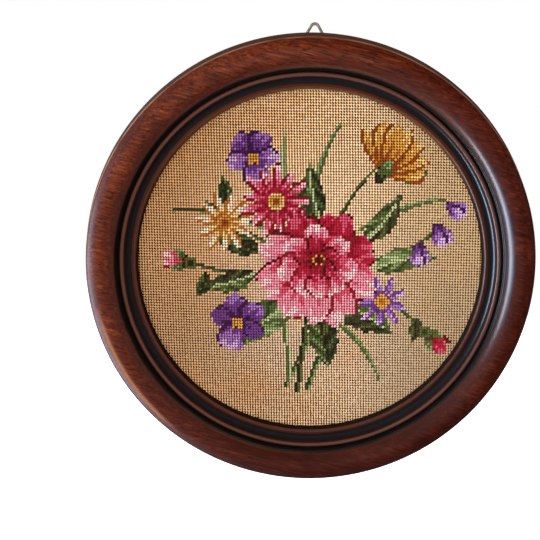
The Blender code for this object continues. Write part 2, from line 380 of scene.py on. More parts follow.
def wood_grain(shader, at):
    """The board's colour with painted light and shade across the ring, its fine streaks and its pores, as
    node values.
    """
    # The grain runs to the right and a little down, and wanders
    here = shader.here()
    drift = shader.noise(shader.scaled(here, (6, 16, 16)), 1.0, 2.0)
    sway = shader.add("ShaderNodeCombineXYZ", {2: shader.times(drift, GRAIN_SWAY)})
    swayed = shader.vector_maths("ADD", here, sway)
    grained = shader.add("ShaderNodeMapping", {"Vector": swayed, "Rotation": (0, -GRAIN_TILT, 0)})
    streaks = shader.noise(shader.scaled(grained, (60, 900, 900)), 1.0, 4.0, 0.6)
    figure = shader.noise(shader.scaled(grained, (12, 60, 60)), 1.0, 3.0)
    pores = shader.noise(shader.scaled(grained, (290, 1500, 1500)), 1.0, 1.0)
    body = shader.ramp(streaks, [
        (0.30, linear((50, 14, 6))),
        (0.45, linear((74, 24, 11))),
        (0.58, linear((90, 33, 14))),
        (0.74, linear((120, 56, 27))),
    ])
    glow = shader.ramp(figure, [
        (0.30, (0.74, 0.68, 0.66, 1)),
        (0.50, (1, 1, 1, 1)),
        (0.72, (1.35, 1.42, 1.25, 1)),
    ])
    body = shader.mix(1.0, body, glow, "MULTIPLY")
    # Painted light: paler and warmer towards the upper left, where the light falls, and darker towards the
    # lower right
    painted_light_tone = shader.ramp(shader.span(at.faded, -RIM_RADIUS, RIM_RADIUS), [
        (0.0, (0.56, 0.52, 0.56, 1)),
        (0.5, (0.88, 0.84, 0.82, 1)),
        (1.0, (1.34, 1.56, 1.30, 1)),
    ])
    body = shader.mix(1.0, body, painted_light_tone, "MULTIPLY")
    pore_share = shader.span(pores, 0.34, 0.43, 0.75, 0.0)
    return shader.mix(pore_share, body, wood("pore")), streaks, pore_share


def rim_shade_and_glow(shader, at, colour):
    """The wood with painted shade on its outer slope on the left and low on the ring, and a painted warm
    glow along that slope low on the left.
    """
    # Painted shade on the outer slope, on the left and low on the ring
    slope = shader.span(at.radius, 107 * MM, 113 * MM, 0.0, 0.5)
    painted_rim_shade = shader.times(slope, shader.maths("MAXIMUM", at.handled, at.low))
    colour = shader.mix(painted_rim_shade, colour, wood("painted_rim_shade"))
    # Painted warm glow along the outer slope, low on the left
    glow_band = band(shader, at.radius, 109.4 * MM, 111.2 * MM, 0.9 * MM)
    low_left = shader.span(toward(shader, -0.85, -0.53), 103 * MM, 109 * MM, 0.0, 0.32)
    return shader.mix(shader.times(glow_band, low_left), colour, wood("warm_glow"))


def moulded(shader, at, body):
    """The wood's colour on each part of the moulding."""
    # Lighter edge along the arris, partly wear and partly a painted highlight, weaker low on the ring, and a
    # darker dull side wall behind it
    edge = band(shader, at.radius, ARRIS[0] - 0.35 * MM, ARRIS[0] + 0.3 * MM, 0.15 * MM)
    arris_wear_and_highlight = shader.times(edge, shader.span(at.patches, 0.3, 0.6, 0.3, 0.85))
    less_faded = shader.span(at.faded, -0.5 * RIM_RADIUS, 0.5 * RIM_RADIUS, 1.0, 0.8)
    arris_wear_and_highlight = shader.times(arris_wear_and_highlight, less_faded)
    above = shader.minus(1.0, shader.times(at.low, 0.5))
    # Stain that darkens the inner half of the bead; on the left it is greyer, a painted sheen
    inner = shader.span(at.radius, BEAD_INNER[0] + 0.2 * MM, BEAD_INNER[0] + 7.5 * MM, 0.6, 0.0)
    # The thin bead and the lip are rubbed to a paler brown; at the top of the opening the lip is lighter and
    # redder, a painted light
    thin = band(shader, at.radius, SMALL_BEAD_INNER[0], SMALL_BEAD_OUTER[0], 0.3 * MM)
    lip = band(shader, at.radius, LIP_INNER[0] + 0.1 * MM, LIP_OUTER[0] + 0.9 * MM, 0.3 * MM)
    colour = body
    for share, tint in (
        (shader.times(arris_wear_and_highlight, above), wood("worn_and_highlit")),
        (at.side, wood("side")),
        (inner, shader.mix(at.handled, wood("inner"), wood("inner_left_sheen"))),
        (shader.times(thin, 0.8), wood("thin_bead")),
        (shader.times(lip, 0.8), shader.mix(at.upper, wood("lip"), wood("lip_top_lit"))),
        (at.cove, wood("cove")),
        (at.groove, wood("groove")),
        # The opening's wall is dark, partly dark paint and partly painted shade, and its top is lighter and
        # redder, a painted light; the flat back is plain wood
        (at.wall, shader.mix(at.upper, wood("wall"), wood("wall_top_lit"))),
        (at.rear, shader.mix(0.5, wood("back"), body)),
    ):
        colour = shader.mix(share, colour, tint)
    return colour


def mahogany():
    """Varnished red-brown wood with grain across the ring, blackened grooves, rubbed edges with a painted
    highlight, and painted light and shade.
    """
    shader = Shader("mahogany", Coat_Roughness=0.27, Specular_IOR_Level=0.14)
    at = ring_places(shader)
    grain, streaks, pore_share = wood_grain(shader, at)
    shader.feed("Base Color", moulded(shader, at, rim_shade_and_glow(shader, at, grain)))
    # Varnish lies on the front of the moulding alone, and is worn off the outer slope on the left
    dull = shader.maths("MAXIMUM", shader.maths("MAXIMUM", at.side, at.wall), at.rear)
    varnish = shader.span(dull, 0.0, 0.85, 1.0, 0.0)
    worn_off = shader.span(at.radius, 110.5 * MM, 113.8 * MM, 0.97, 0.80)
    kept = shader.minus(1.0, shader.times(at.handled, worn_off))
    shader.feed("Coat Weight", shader.times(varnish, kept))
    clouds = shader.noise(shader.here(), 60, 4.0)
    rough = shader.span(clouds, 0.3, 0.7, 0.46, 0.58)
    black = shader.maths("MAXIMUM", at.groove, at.cove)
    for place, change in ((black, -0.1), (at.handled, 0.12)):
        rough = shader.plus(rough, shader.times(place, change))
    rough = shader.plus(rough, shader.times(dull, 0.35), clamp=True)
    shader.feed("Roughness", rough)
    raised, sunk = shader.times(streaks, 0.3), shader.times(pore_share, 0.6)
    shader.bump(shader.minus(raised, sunk), 0.05 * MM, 0.35)
    return shader.material


def thread_material(name, colour):
    """Soft stranded thread of one colour, a little uneven from stitch to stitch, with painted shade in the
    holes.
    """
    shader = Shader("thread_" + name, Roughness=0.85, Specular_IOR_Level=0.1)
    base = linear(colour)[:3]
    shades = [(place, (*(min(1, value * share) for value in base), 1)) for place, share in THREAD_SHADES]
    in_plane = shader.scaled(shader.here(), (1, 0, 1))
    thread = shader.ramp(shader.noise(in_plane, 520, 1.0), shades)
    depth = hole_depth(shader)
    if name == "ground":
        thread = shade_and_age_ground(shader, in_plane, thread)
        halo = shader.mix(1.0, thread, (*HALO_TINT, 1), "MULTIPLY")
        thread = shader.mix(shader.span(depth, HALO_EDGE, HALO_HEART), thread, halo)
    # Painted shade in the holes: the thread keeps only a little of its light there
    deep = (*(value * share for value, share in zip(base, HOLE_TINT)), 1)
    shader.feed("Base Color", shader.mix(shader.span(depth, HOLE_EDGE, HOLE_HEART), thread, deep))
    # Fine strands that run along the slanting stitch
    strands = shader.add("ShaderNodeMapping", {
        "Vector": shader.here(), "Rotation": (0, -STITCH_SLANT, 0), "Scale": (900, 900, 5200),
    })
    shader.bump(shader.noise(strands, 1.0, 2.0), 0.05 * MM, 0.6)
    return shader.material


def shade_and_age_ground(shader, where, colour):
    """Painted shade, darker and warmer towards the left and darker to the right and low down, with soft
    marks of age.
    """
    x, _, z = shader.split(where)
    # Painted shade, darker and warmer towards the left and darker to the right
    leftness = shader.span(x, -SIGHT_RADIUS, 0.2 * SIGHT_RADIUS, 1.0, 0.0)
    colour = shader.mix(shader.times(leftness, 0.8), colour, linear((208, 160, 110)))
    rightness = shader.span(x, 0.0, 0.8 * SIGHT_RADIUS, 0.0, 0.8)
    colour = shader.mix(rightness, colour, linear((196, 166, 122)))
    # Painted shade: darker and bluer below than at the top
    lowness = shader.span(z, CENTRE_Z - 0.6 * SIGHT_RADIUS, CENTRE_Z + 0.5 * SIGHT_RADIUS, 1.0, 0.0)
    shaded_low = shader.mix(1.0, colour, (0.79, 0.82, 0.90, 1), "MULTIPLY")
    colour = shader.mix(lowness, colour, shaded_low)
    cloud = shader.noise(where, 28, 3.0)
    colour = shader.mix(shader.span(cloud, 0.48, 0.75, 0.0, 0.35), colour, linear((226, 172, 120)))
    # One darker mark low on the left
    away = shader.vector_maths("DISTANCE", where, (-28 * MM, 0, CENTRE_Z - 68 * MM), "Value")
    return shader.mix(shader.span(away, 2 * MM, 20 * MM, 0.35, 0.0), colour, linear((220, 162, 112)))


def hole_depth(shader):
    """A value that is highest in the canvas's holes, narrow left-leaning ovals where four stitches meet."""
    here = shader.here()
    x, _, z = shader.split(here)
    z = shader.minus(z, CENTRE_Z)
    # The columns and rows of the canvas, with their lean and their waves
    wave = shader.maths("SINE", shader.maths("DIVIDE", z, WAVE_ACROSS))
    across = shader.minus(x, shader.times(wave, WAVE))
    across = shader.plus(across, shader.times(z, math.tan(CLOTH_LEAN)))
    wave = shader.maths("SINE", shader.maths("DIVIDE", x, WAVE_UP))
    up = shader.minus(z, shader.times(wave, WAVE))
    column = shader.times(across, 2 * math.pi / PITCH)
    row = shader.times(up, 2 * math.pi / ROW_PITCH)

    def weighed(phase, weight, low_share):
        """Cosine of a phase with its weight, of which low_share is left low on the cloth."""
        amount = shader.span(z, -0.95 * SIGHT_RADIUS, -0.35 * SIGHT_RADIUS, low_share * weight, weight)
        return shader.times(shader.maths("COSINE", phase), amount)

    # Low on the cloth the holes run together into upright lines
    depth = weighed(column, HOLE_COLUMN, 1.1)
    for more in (
        weighed(row, HOLE_ROW, 0.1),
        weighed(shader.plus(column, row), HOLE_LEAN, 0.4),
        # Some holes are wider; all are narrower on the right, and everywhere but at the top
        shader.span(shader.noise(here, 480, 1.0), 0.3, 0.7, -0.4, 0.4),
        shader.span(z, 0.0, 0.8 * SIGHT_RADIUS, -0.7, 0.1),
        shader.span(x, 0.0, 0.8 * SIGHT_RADIUS, 0.0, -1.2),
    ):
        depth = shader.plus(depth, more)
    return depth


def canvas_material():
    """Brown-tinged canvas under the stitches, with painted shade at its holes."""
    shader = Shader("canvas", Roughness=0.9, Specular_IOR_Level=0.2)
    share = shader.span(hole_depth(shader), HOLE_EDGE, HOLE_HEART)
    weave = shader.noise(shader.here(), 3000, 2.0)
    tan = shader.ramp(weave, [(0.3, linear((104, 66, 34))), (0.7, linear((134, 92, 54)))])
    # Painted shade at the holes
    shader.feed("Base Color", shader.mix(share, tan, linear(HOLE_SHADE_BROWN)))
    shader.bump(shader.minus(weave, share), 0.1 * MM, 0.8)
    return shader.material


def metal_material(name, colour, tarnish, roughness):
    """Dulled metal with spots of tarnish."""
    shader = Shader(name, Metallic=0.7)
    spots = shader.noise(shader.here(), 420, 4.0)
    shader.feed("Base Color", shader.ramp(spots, [(0.35, linear(tarnish)), (0.62, linear(colour))]))
    shader.feed("Roughness", shader.span(spots, 0.3, 0.7, roughness + 0.15, roughness))
    shader.bump(spots, 0.03 * MM, 0.5)
    return shader.material


def board_material():
    """Pressed brown board with short fibres."""
    shader = Shader("pressed_board", Roughness=0.88, Specular_IOR_Level=0.2)
    fibres = shader.noise(shader.scaled(shader.here(), (900, 900, 260)), 1.0, 4.0, 0.7)
    cloud = shader.noise(shader.here(), 24, 3.0)
    colour = shader.ramp(fibres, [(0.3, linear((112, 84, 56))), (0.7, linear((158, 126, 88)))])
    shade = shader.ramp(cloud, [(0.35, (0.82, 0.8, 0.78, 1)), (0.65, (1, 1, 1, 1))])
    shader.feed("Base Color", shader.mix(1.0, colour, shade, "MULTIPLY"))
    shader.bump(fibres, 0.08 * MM, 0.6)
    return shader.material


# Shapes
def bulge(start, end, rise, steps):
    """Points of the arc from start to end that stands rise off its chord, to the left of the way along."""
    (x0, y0), (x1, y1) = start, end
    half = math.dist(start, end) / 2
    radius = (half * half + rise * rise) / (2 * abs(rise))
    sweep = 2 * math.atan2(half, radius - abs(rise))
    along = ((x1 - x0) / (2 * half), (y1 - y0) / (2 * half))
    side = math.copysign(1, rise)
    across = (-along[1] * side, along[0] * side)
    middle = ((x0 + x1) / 2, (y0 + y1) / 2)
    centre = [middle[i] - across[i] * (radius - abs(rise)) for i in (0, 1)]
    points = []
    for step in range(steps + 1):
        turn = -sweep / 2 + sweep * step / steps
        points.append(tuple(
            centre[i] + radius * (math.cos(turn) * across[i] + math.sin(turn) * along[i]) for i in (0, 1)
        ))
    return points


def moulding_section():
    """Closed section as (radius, height), down the outside, in along the back and up through the opening."""
    section = [ARRIS, (RIM_RADIUS, BACK_CHAMFER), (RIM_RADIUS - BACK_CHAMFER, 0)]
    section += [(RABBET_RADIUS, 0), (RABBET_RADIUS, RABBET_HEIGHT), (SIGHT_RADIUS, RABBET_HEIGHT)]
    section += bulge(LIP_INNER, LIP_OUTER, LIP_RISE, LIP_STEPS)
    section += bulge(COVE_INNER, COVE_OUTER, -COVE_DEPTH, COVE_STEPS)
    section += bulge(SMALL_BEAD_INNER, SMALL_BEAD_OUTER, SMALL_BEAD_RISE, SMALL_BEAD_STEPS)
    section += [GROOVE_INNER, GROOVE_OUTER, QUIRK_INNER, QUIRK_OUTER]
    section += bulge(BEAD_INNER, ARRIS, BEAD_RISE, BEAD_STEPS)[:-1]
    return section


def mesh_object(name, points, faces, material):
    mesh = bpy.data.meshes.new(name)
    mesh.from_pydata(points, [], faces)
    mesh.materials.append(material)
    mesh.shade_smooth()
    return new_object(name, mesh)


def settle(target):
    """Applies the modifiers."""
    seen = target.evaluated_get(bpy.context.evaluated_depsgraph_get())
    mesh = bpy.data.meshes.new_from_object(seen)
    target.modifiers.clear()
    target.data = mesh


def turned_ring():
    """The moulding as one fine lathed ring with softened edges."""
    section = moulding_section()
    count = len(section)
    points = []
    for step in range(RING_STEPS):
        angle = 2 * math.pi * step / RING_STEPS
        for radius, height in section:
            points.append((radius * math.cos(angle), BACK_Y - height, CENTRE_Z + radius * math.sin(angle)))
    faces = []
    for step in range(RING_STEPS):
        here, following = step * count, (step + 1) % RING_STEPS * count
        for place in range(count):
            after = (place + 1) % count
            faces.append((here + place, following + place, following + after, here + after))
    ring = mesh_object("turned_ring", points, faces, mahogany())
    bevel = ring.modifiers.new("Edges", "BEVEL")
    bevel.width = EDGE_ROUND
    bevel.segments = 2
    bevel.limit_method = "ANGLE"
    bevel.angle_limit = ROUNDED_FROM
    settle(ring)
    ring.data.shade_smooth()
    ring.data.set_sharp_from_angle(angle=SHARP_FROM)
    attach(ring, "root")
    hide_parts("wooden_frame")


def cloth_lift(x, z):
    """How far the cloth stands forward of flat, as arrays; z is from the ring's centre."""
    inside = np.clip(1 - (x * x + z * z) / SIGHT_RADIUS ** 2, 0, None)
    across = np.sin(x / RIPPLE_ACROSS + 0.6) * np.cos(z / RIPPLE_UP - 0.4)
    return inside * (CLOTH_CROWN + CLOTH_RIPPLE * across)


def canvas_sheet():
    """Thin closed disc of canvas under the stitches, on the cloth's crown."""
    rings, steps = 24, 96
    turns = [2 * math.pi * step / steps for step in range(steps)]
    points = [(0.0, 0.0)]
    for ring in range(1, rings + 1):
        radius = CLOTH_RADIUS * ring / rings
        points += [(radius * math.cos(turn), radius * math.sin(turn)) for turn in turns]
    flat = np.array(points)
    lift = cloth_lift(flat[:, 0], flat[:, 1])
    front = np.stack([flat[:, 0], BACK_Y - CANVAS_FRONT - lift, CENTRE_Z + flat[:, 1]], 1)
    back = front + np.array([0, CANVAS_THICKNESS, 0])
    count = len(points)
    faces = []
    for step in range(steps):
        after = (step + 1) % steps
        faces.append((0, 1 + step, 1 + after))
        faces.append((count, count + 1 + after, count + 1 + step))
        for ring in range(rings - 1):
            a, b = 1 + ring * steps + step, 1 + ring * steps + after
            c, d = b + steps, a + steps
            faces.append((a, d, c, b))
            faces.append((count + a, count + b, count + c, count + d))
        outer = 1 + (rings - 1) * steps
        rim, rim_after = outer + step, outer + after
        faces.append((rim, count + rim, count + rim_after, rim_after))
    sheet = mesh_object("canvas_sheet", np.concatenate([front, back]).tolist(), faces, canvas_material())
    bake_map(sheet)
    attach(sheet, "root")
    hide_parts("embroidered_cloth")
    return sheet


def bake_map(target):
    """A map straight onto the face of the cloth, for a bake."""
    mesh = target.data
    places = np.zeros(len(mesh.vertices) * 3)
    mesh.vertices.foreach_get("co", places)
    flat = places.reshape(-1, 3)[:, (0, 2)]
    low, high = flat.min(0), flat.max(0)
    corners = np.zeros(len(mesh.loops), int)
    mesh.loops.foreach_get("vertex_index", corners)
    spread = (MAP_MARGIN + (1 - 2 * MAP_MARGIN) * (flat - low) / (high - low).max())[corners]
    layer = mesh.uv_layers.new(name="OFBake")
    layer.data.foreach_set("uv", spread.ravel())


# The picture, painted by shape functions on the grid of cells
def wobble(values, seed):
    """Smooth seeded noise of one variable, about -1 to 1."""
    draw = np.random.default_rng(seed)
    total = np.zeros_like(values, float)
    for wave in range(3):
        total += np.sin(values * draw.uniform(2.0, 4.5) * (wave + 1) + draw.uniform(0, 6.28)) / (wave + 1)
    return total / 1.6


def shade(chart, inside, value, ramp):
    """Fills the cells inside with the ramp's colours, from the first at 0 to the last at 1."""
    picked = np.clip((value * len(ramp)).astype(int), 0, len(ramp) - 1)
    chart[inside] = np.array([THREAD[name] for name in ramp])[picked[inside]]


def local(at, angle):
    """Cell coordinates along and across a direction, in degrees anticlockwise from the right."""
    turn = math.radians(angle)
    dx, dy = CELL_X - at[0], CELL_Y - at[1]
    return dx * math.cos(turn) + dy * math.sin(turn), dy * math.cos(turn) - dx * math.sin(turn)


def petal(chart, at, angle, length, width, ramp, seed=0, blunt=0.6, edge=None, light=0.0):
    """A petal from its base outwards, in streaks from the ramp's first colour to its last.
    edge is (colour, side) of a darker line along one side."""
    along, across = local(at, angle)
    ruffle = 1 + 0.07 * wobble(across / width * 3, seed + 5)
    u = along / length / ruffle
    held = np.clip(u, 0, 1)
    half = width / 2 * np.sqrt(held) ** blunt * np.sqrt(np.clip(1 - held ** 4, 0, 1))
    v = across / np.maximum(half, 0.01)
    inside = (u > 0) & (u < 1) & (np.abs(v) < 1)
    value = 0.95 * u + 0.16 * wobble(v * 2.2, seed) + light * v - 0.12 * v * v
    shade(chart, inside, value, ramp)
    if edge:
        rim = inside & (np.abs(v) > 1 - 1.0 / np.maximum(half, 1.2)) & (v * edge[1] > 0)
        chart[rim] = THREAD[edge[0]]


def disc(chart, at, radius, ramp, seed=0):
    dx, dy = CELL_X - at[0], CELL_Y - at[1]
    far = np.hypot(dx, dy) / radius
    shade(chart, far < 1, far + 0.15 * wobble(np.arctan2(dy, dx) * 1.5, seed), ramp)


def dot(chart, x, y, name):
    chart[math.floor(y) + MIDDLE, math.floor(x) + MIDDLE] = THREAD[name]


def stroke(chart, start, control, end, widths, names):
    """A stem or blade on a curve through three points, lit on one side and shaded on the other."""
    share = np.linspace(0, 1, STROKE_STEPS)[:, None]
    a, b, c = (np.array(point, float) for point in (start, control, end))
    path = (1 - share) ** 2 * a + 2 * share * (1 - share) * b + share * share * c
    wide = np.interp(share[:, 0], [0, 0.5, 1], widths)
    ahead = np.gradient(path, axis=0)
    ahead /= np.linalg.norm(ahead, axis=1)[:, None]
    best = np.full(CELL_X.shape, math.inf)
    side = np.zeros(CELL_X.shape)
    for (x, y), width, (ax, ay) in zip(path, wide, ahead):
        dx, dy = CELL_X - x, CELL_Y - y
        near = np.hypot(dx, dy) / max(width / 2, 0.55)
        closer = near < best
        best = np.where(closer, near, best)
        side = np.where(closer, dy * ax - dx * ay, side)
    chart[(best < 1) & (side >= 0)] = THREAD[names[0]]
    chart[(best < 1) & (side < 0)] = THREAD[names[1]]


def leaf(chart, at, angle, length, width, ramps, seed=0, curl=0.0, teeth=0.0, rib="mist"):
    """A pointed leaf with a rib; ramps gives the colours of its two halves."""
    along, across = local(at, angle)
    u = along / length
    across = across - curl * length * u * (1 - u) * 2
    half = width / 2 * np.sin(np.pi * np.clip(u, 0, 1) ** 0.8) ** 0.9
    half = half * (1 + teeth * np.sin(u * length * 1.6))
    v = across / np.maximum(half, 0.01)
    for side, ramp in zip((1, -1), ramps):
        inside = (u > 0) & (u < 1) & (np.abs(v) < 1) & (v * side >= 0)
        value = 0.6 + 0.35 * wobble(u * 5 + np.abs(v) * 1.6, seed + side) - 0.25 * np.abs(v)
        shade(chart, inside, value, ramp)
    chart[(u > 0.02) & (u < 0.86) & (np.abs(across) < 0.5)] = THREAD[rib]


def great_bloom(chart, x, y):
    """The full flower: rings of broad ruffled petals round a dark heart with gold stamens."""
    back = ["crimson_deep", "crimson", "crimson", "cherry", "rose"]
    outer = ["crimson", "cherry", "rose", "pink", "pink", "blush"]
    middle = ["crimson_deep", "cherry", "rose", "pink", "blush"]
    inner = ["crimson_deep", "crimson", "cherry", "rose"]
    for k, (angle, length, width, light) in enumerate([
        (62, 21, 19, 0.0), (112, 20, 18, 0.05), (18, 22, 17, -0.1),
        (158, 22, 17, 0.1), (-22, 23, 18, -0.15), (200, 23, 19, 0.12),
    ]):
        ramp = back if k < 3 else outer
        petal(chart, (x, y), angle, length, width, ramp, 11 + k, light=light, edge=("crimson_deep", -1))
    for k, (angle, length, width, light) in enumerate([
        (238, 21, 19, 0.1), (-62, 22, 20, -0.1), (-92, 20, 17, 0.0),
    ]):
        petal(chart, (x, y - 1), angle, length, width, outer, 31 + k, light=light, edge=("crimson", 1))
    for k, (angle, length, width) in enumerate([
        (90, 14, 14), (35, 14, 13), (145, 14, 13), (-15, 15, 13),
        (190, 15, 14), (-60, 14, 14), (238, 14, 14), (-90, 13, 12),
    ]):
        light = 0.06 * (-1) ** k
        petal(chart, (x, y + 1), angle, length, width, middle, 51 + k, light=light, edge=("crimson", -1))
    for k, (angle, length) in enumerate([(100, 9), (20, 8), (170, 8.5), (-40, 8), (225, 8.5), (-92, 7)]):
        petal(chart, (x, y + 2), angle, length, 8, inner, 71 + k, edge=("crimson_deep", 1))
    disc(chart, (x, y + 2), 3.4, ["crimson_deep", "crimson_deep", "crimson"], 3)
    for k in range(7):
        dot(chart, x + 2.1 * math.cos(k * 0.9), y + 2 + 1.9 * math.sin(k * 0.9), "gold")


def pansy(chart, at, size, tilt, top, sides, low):
    """A five-petalled face: two petals above, two beside, one below."""
    for k, (angle, long, wide, ramp) in enumerate([
        (118, 1.0, 1.05, top),
        (62, 1.0, 1.05, top),
        (178, 0.92, 0.9, sides),
        (2, 0.92, 0.9, sides),
        (-90, 0.95, 1.25, low),
    ]):
        edge = (top[0], 1 if k % 2 else -1)
        petal(chart, at, angle + tilt, size * long, size * wide, ramp, 7 * k + int(at[0]) % 13, 0.8, edge)
    disc(chart, at, size * 0.17 + 0.5, ["gold"])
    turn = math.radians(tilt - 90)
    dot(chart, at[0] + 1.9 * math.cos(turn), at[1] + 1.9 * math.sin(turn), top[0])


def daisy(chart, at, size, rays, ramp, heart, turn):
    for k in range(rays):
        reach = size * (1 if k % 2 else 0.9)
        petal(chart, at, turn + 360 * k / rays, reach, size * 0.36, ramp, 3 * k, 0.9, (ramp[0], 1))
    disc(chart, at, size * 0.26, heart, 5)


def carnation(chart, at, angle, size, ramp, cup):
    """A fan of fringed petals seen from the side, over a green cup."""
    for k, spread in enumerate((-58, 58, -38, 38, -20, 20, 0)):
        reach = size * (0.82 + 0.18 * math.cos(math.radians(spread)) + (0.05 if k % 2 else 0))
        side = 1 if spread > 0 else -1
        petal(chart, at, angle + spread, reach, size * 0.5, ramp, 13 + k, 0.9, (ramp[0], side), 0.1 * side)
    back, turn = -0.26 * size, math.radians(angle)
    foot = (at[0] + back * math.cos(turn), at[1] + back * math.sin(turn))
    petal(chart, foot, angle, size * 0.55, size * 0.34, cup, 4, 0.5)


def bell(chart, at, angle, size, ramp):
    """A small hanging bell with a flared mouth."""
    petal(chart, at, angle - 16, size, size * 0.6, ramp, 2, 0.7)
    petal(chart, at, angle + 16, size, size * 0.6, ramp, 9, 0.7)
    petal(chart, at, angle, size * 1.05, size * 0.5, ramp[1:] + ramp[-1:], 5, 0.7, (ramp[0], 1))


def bud(chart, at, angle, size, ramp, cup):
    petal(chart, at, angle - 10, size, size * 0.55, ramp, 3, 0.9)
    petal(chart, at, angle + 12, size * 0.92, size * 0.5, ramp, 8, 0.9, (ramp[0], 1))
    for side in (-32, 28):
        petal(chart, at, angle + side, size * 0.66, size * 0.3, cup, 6, 0.5)
    disc(chart, at, size * 0.2, cup[:2])


def stems(chart):
    for start, control, end, names in [
        ((6, -8), (2, -26), (-9, -46), ("sage", "forest")),
        ((0, -10), (-2, -28), (-5, -48), ("leaf", "pine")),
        ((12, -12), (6, -28), (-1, -47), ("sage", "forest")),
        ((-12, -8), (-8, -26), (-8, -44), ("mist", "leaf")),
    ]:
        stroke(chart, start, control, end, (1.6, 1.8, 2.0), names)
    for start, control, end in [
        ((-6, 4), (-22, 8), (-38, 22)),
        ((2, 10), (-4, 30), (-18, 44)),
        ((8, 10), (18, 32), (30, 38)),
        ((-10, -4), (-30, -6), (-46, 0)),
        ((16, 0), (36, 2), (48, 14)),
        ((14, -8), (34, -14), (44, -26)),
        ((-8, -10), (-24, -18), (-34, -30)),
    ]:
        stroke(chart, start, control, end, (1.5, 1.2, 1.2), ("leaf", "forest"))
    for start, control, end, names in [
        ((0, 14), (2, 36), (12, 50), ("sage", "leaf")),
        ((-4, 12), (-12, 30), (-8, 47), ("mist", "sage")),
        ((18, 12), (34, 22), (50, 24), ("sage", "leaf")),
        ((-12, 10), (-30, 20), (-50, 18), ("sage", "forest")),
        ((8, -20), (22, -30), (26, -44), ("sage", "leaf")),
    ]:
        stroke(chart, start, control, end, (1.2, 2.2, 0.9), names)


def leaves(chart):
    dark = ["pine", "forest", "leaf"]
    fresh = ["forest", "leaf", "sage"]
    pale = ["leaf", "sage", "mist"]
    for at, angle, length, width, ramps, curl, teeth in [
        ((8, -14), -28, 26, 13, (fresh, dark), 0.12, 0.07),
        ((-6, -14), 222, 25, 12, (pale, fresh), -0.1, 0.07),
        ((2, -18), -78, 22, 11, (dark, fresh), 0.1, 0.06),
        ((-18, 4), 150, 22, 9, (dark, dark), 0.15, 0.05),
        ((20, 8), 52, 22, 8, (fresh, dark), -0.12, 0.05),
        ((4, 16), 100, 20, 8, (fresh, dark), 0.1, 0.0),
        ((24, -2), 12, 24, 9, (pale, fresh), 0.12, 0.05),
        ((-20, -4), 196, 20, 8, (fresh, dark), 0.1, 0.05),
        ((34, 30), 20, 10, 5, (dark, fresh), 0.1, 0.0),
        ((-30, 20), 100, 11, 5, (dark, fresh), -0.1, 0.0),
        ((-38, -4), 250, 10, 5, (dark, fresh), 0.1, 0.0),
        ((40, -20), -100, 9, 5, (dark, fresh), 0.1, 0.0),
    ]:
        rib = "pine" if ramps[0] is dark else "mist"
        leaf(chart, at, angle, length, width, ramps, int(at[0]) + 40, curl, teeth, rib)


def flowers(chart):
    cup = ["forest", "leaf", "sage"]
    deep_cup = ["pine", "leaf", "sage"]
    purple = ["plum", "violet", "lilac"]
    soft_purple = ["violet", "lilac", "mauve"]
    carnation(chart, (27, 33), 55, 17, ["rust", "amber", "gold", "gold", "straw"], deep_cup)
    pansy(chart, (-20, 37), 10.5, 8, purple, soft_purple, soft_purple)
    daisy(chart, (-31, 14), 11, 11, ["amber", "straw", "cream", "cream"], ["rust", "amber", "gold"], 10)
    for at, angle, size in [((46, 15), -60, 9), ((40, 8), -80, 8.5), ((50, 22), -25, 8)]:
        bell(chart, at, angle, size, purple + ["mauve"])
    bud(chart, (-44, -1), 172, 11, ["crimson", "rose", "pink", "blush"], deep_cup)
    bud(chart, (43, -25), -38, 11, ["crimson_deep", "crimson", "cherry", "rose"], cup)
    pansy(chart, (-27, -23), 11, -24, purple, ["plum", "violet", "violet"], soft_purple)
    daisy(chart, (27, -14), 10, 9, soft_purple, ["amber", "gold"], 25)
    reds = ["crimson", "cherry", "rose", "pink", "blush"]
    daisy(chart, (-12, 22), 13.5, 13, reds, ["rust", "gold", "straw"], 4)
    great_bloom(chart, 3, -1)


def paint_chart():
    chart = np.zeros((CELLS, CELLS), int)
    stems(chart)
    leaves(chart)
    flowers(chart)
    return chart


# Stitches
def stitch_form():
    """Points and faces of one plump stitch along its own X axis, in shares of its half sizes."""
    # Where along it, how wide and how high; its ends dive into the canvas
    end, shoulder = (0.25, -1.5), (0.85, 0.35)
    stations = [(-1.0, *end), (-0.62, *shoulder), (0.0, 1.0, 0.7), (0.62, *shoulder), (1.0, *end)]
    section = [(1.0, 0.0), (0.62, 0.85), (-0.62, 0.85), (-1.0, 0.0), (-0.6, -0.8), (0.6, -0.8)]
    points = []
    for along, width, rise in stations:
        for across, up in section:
            points.append((along, width * across, rise, width * up))
    faces = []
    sides = len(section)
    for station in range(len(stations) - 1):
        for place in range(sides):
            after = (place + 1) % sides
            a, b = station * sides + place, station * sides + after
            faces += [(a, b, b + sides), (a, b + sides, a + sides)]
    last = (len(stations) - 1) * sides
    for place in range(1, sides - 1):
        faces.append((0, place + 1, place))
        faces.append((last, last + place, last + place + 1))
    return np.array(points), np.array(faces)


def stitch_places(chart):
    """Centre, colour and small unevenness of every stitch inside the worked circle."""
    draw = np.random.default_rng(STITCH_SEED)
    z = CELL_Y * ROW_PITCH
    x = CELL_X * PITCH - z * math.tan(CLOTH_LEAN)
    # The waves of the canvas, then a small jitter of each stitch
    x, z = x + WAVE * np.sin(z / WAVE_ACROSS), z + WAVE * np.sin(x / WAVE_UP)
    x = x + PITCH * draw.normal(0, PLACE_SPREAD, x.shape)
    z = z + PITCH * draw.normal(0, PLACE_SPREAD, x.shape)
    tension = 0.05 * np.sin(x / (9 * MM)) * np.sin(z / (13 * MM))
    wide = 1 + draw.normal(0, WIDTH_SPREAD, x.shape) + tension
    long = 1 + draw.normal(0, LENGTH_SPREAD, x.shape)
    slant = STITCH_SLANT + draw.normal(0, SLANT_SPREAD, x.shape)
    kept = np.hypot(x, z) < WORKED_RADIUS
    return [part[kept] for part in (x, z, wide, long, slant, chart)]


